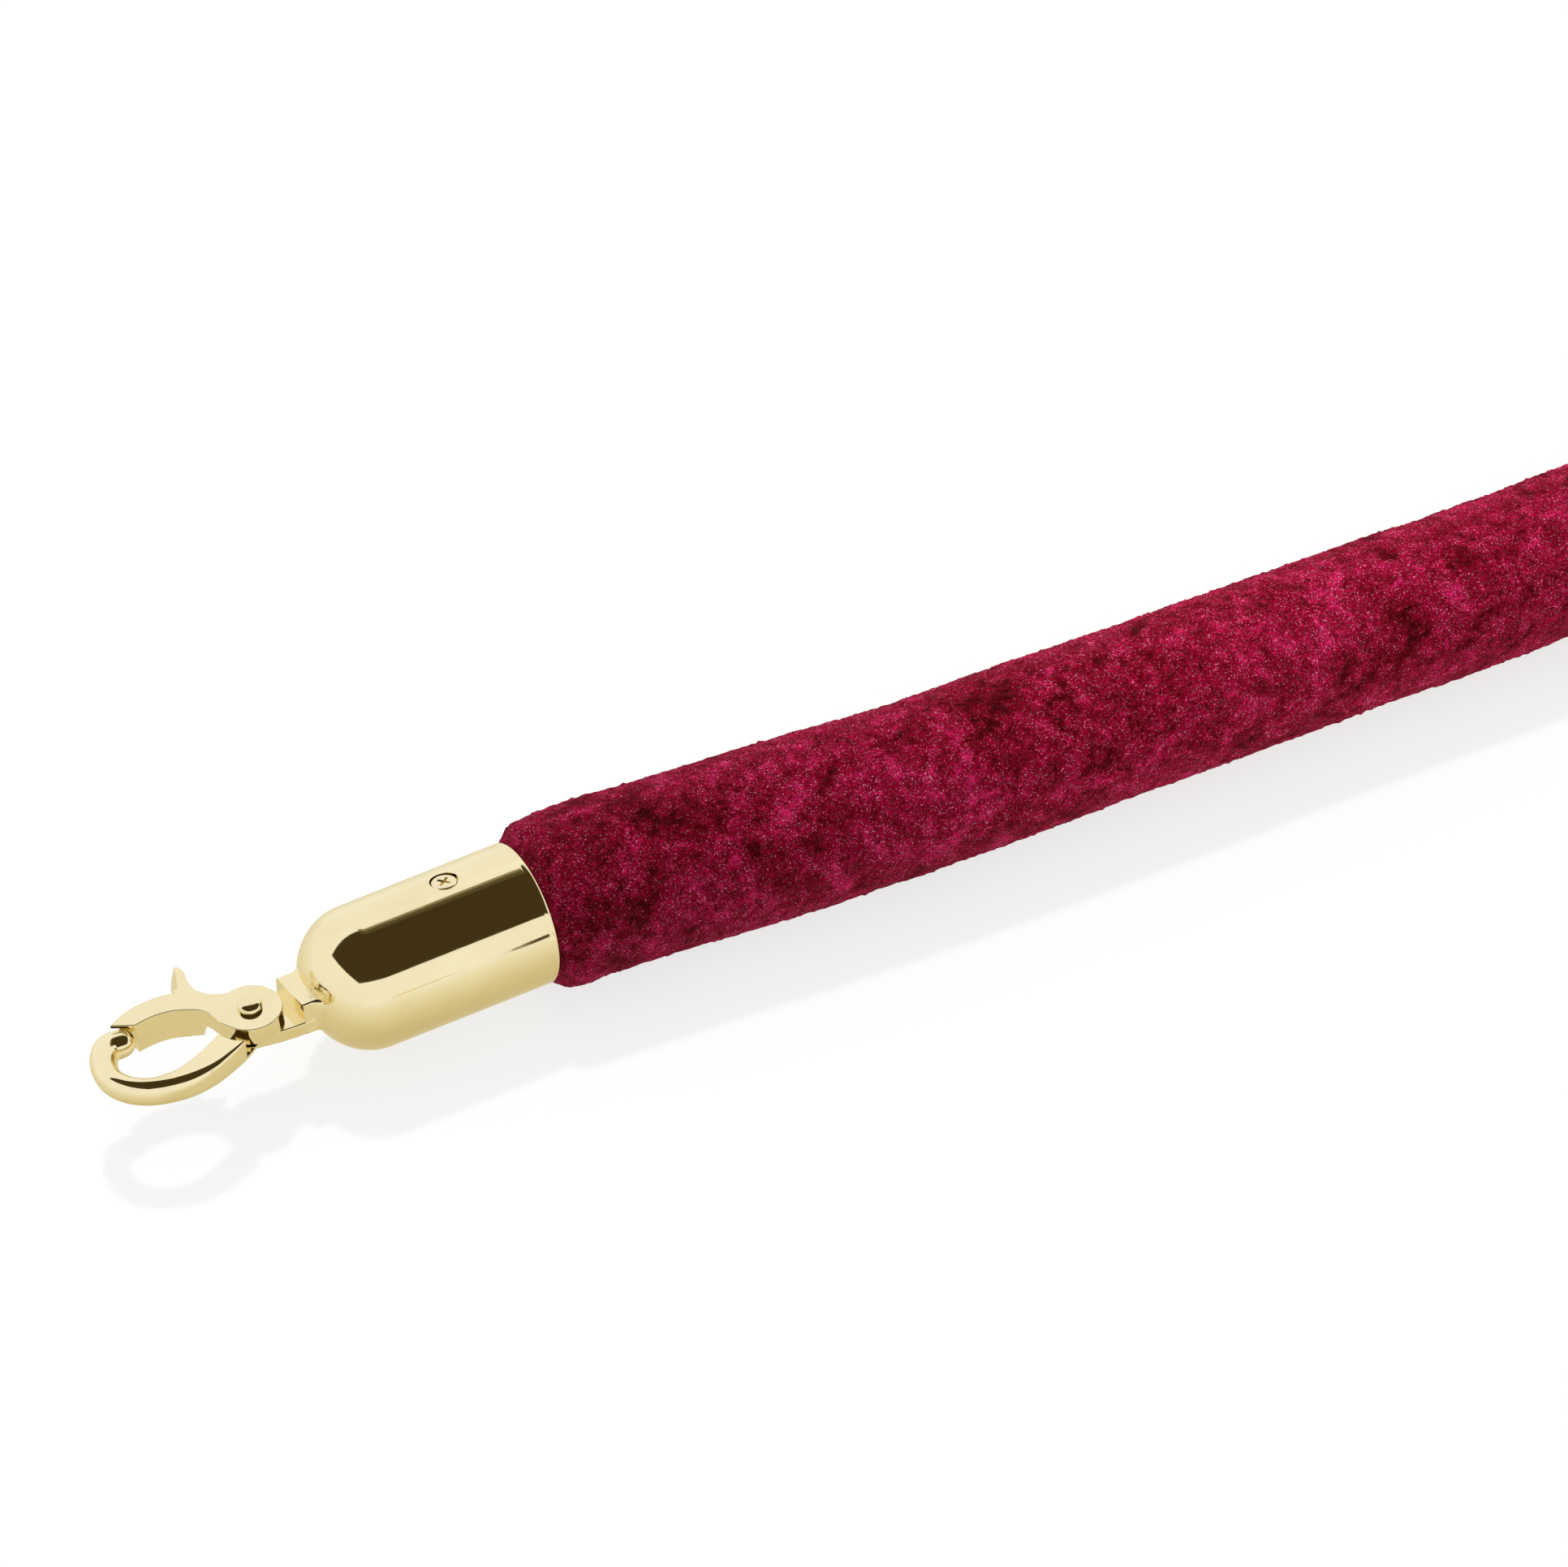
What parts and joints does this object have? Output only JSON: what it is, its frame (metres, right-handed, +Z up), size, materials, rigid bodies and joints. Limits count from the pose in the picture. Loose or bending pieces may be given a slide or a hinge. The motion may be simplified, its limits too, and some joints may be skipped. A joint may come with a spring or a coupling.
{
  "type": "velvet barrier rope",
  "caption": "Padded queue-barrier rope in a wine velvet sleeve, with a gold-plated domed cap and a sprung trigger hook on each end.",
  "frame": {"origin": "middle of the whole outline, on the floor that the rope lies on", "axes": "+X from hook A along the first run of the rope, +Z up"},
  "size_m": [0.7498, 0.3154, 0.036],
  "materials": {
    "velvet": "crushed velvet pile, wine red",
    "padding_foam": "soft open foam",
    "core_cord": "laid cord",
    "cast_gold": "polished pale gold plating on zinc casting",
    "gate_gold": "polished pale gold plating on zinc casting",
    "rivet_gold": "polished pale gold plating",
    "screw_gold": "gold-plated screw",
    "spring_steel": "bare spring wire",
    "plug_wood": "raw turned hardwood",
    "binding_thread": "waxed thread"
  },
  "bodies": {
    "root": {"velvet_sleeve": "velvet", "core_padding": "padding_foam", "core_cord": "core_cord", "end_cap_a": "cast_gold", "gate_rivet_a": "rivet_gold", "cap_screw_top_a": "screw_gold", "cap_screw_bottom_a": "screw_gold", "core_plug_a": "plug_wood", "sleeve_binding_a": "binding_thread", "end_cap_b": "cast_gold", "gate_rivet_b": "rivet_gold", "cap_screw_top_b": "screw_gold", "cap_screw_bottom_b": "screw_gold", "core_plug_b": "plug_wood", "sleeve_binding_b": "binding_thread"},
    "gate_a": {"gate_lever_a": "gate_gold", "gate_spring_a": "spring_steel"},
    "gate_b": {"gate_lever_b": "gate_gold", "gate_spring_b": "spring_steel"}
  },
  "joints": [
    {"name": "gate_a_hinge", "type": "hinge", "parent": "root", "child": "gate_a", "pos_m": [-0.3425, 0.1395, 0.018], "axis": [0, 0, -1], "range_deg": [0, 38], "stiffness_Nm_per_rad": 0.03, "springref_deg": -34.38},
    {"name": "gate_b_hinge", "type": "hinge", "parent": "root", "child": "gate_b", "pos_m": [-0.2365, -0.1365, 0.018], "axis": [0, 0, -1], "range_deg": [0, 38], "stiffness_Nm_per_rad": 0.03, "springref_deg": -34.38}
  ]
}
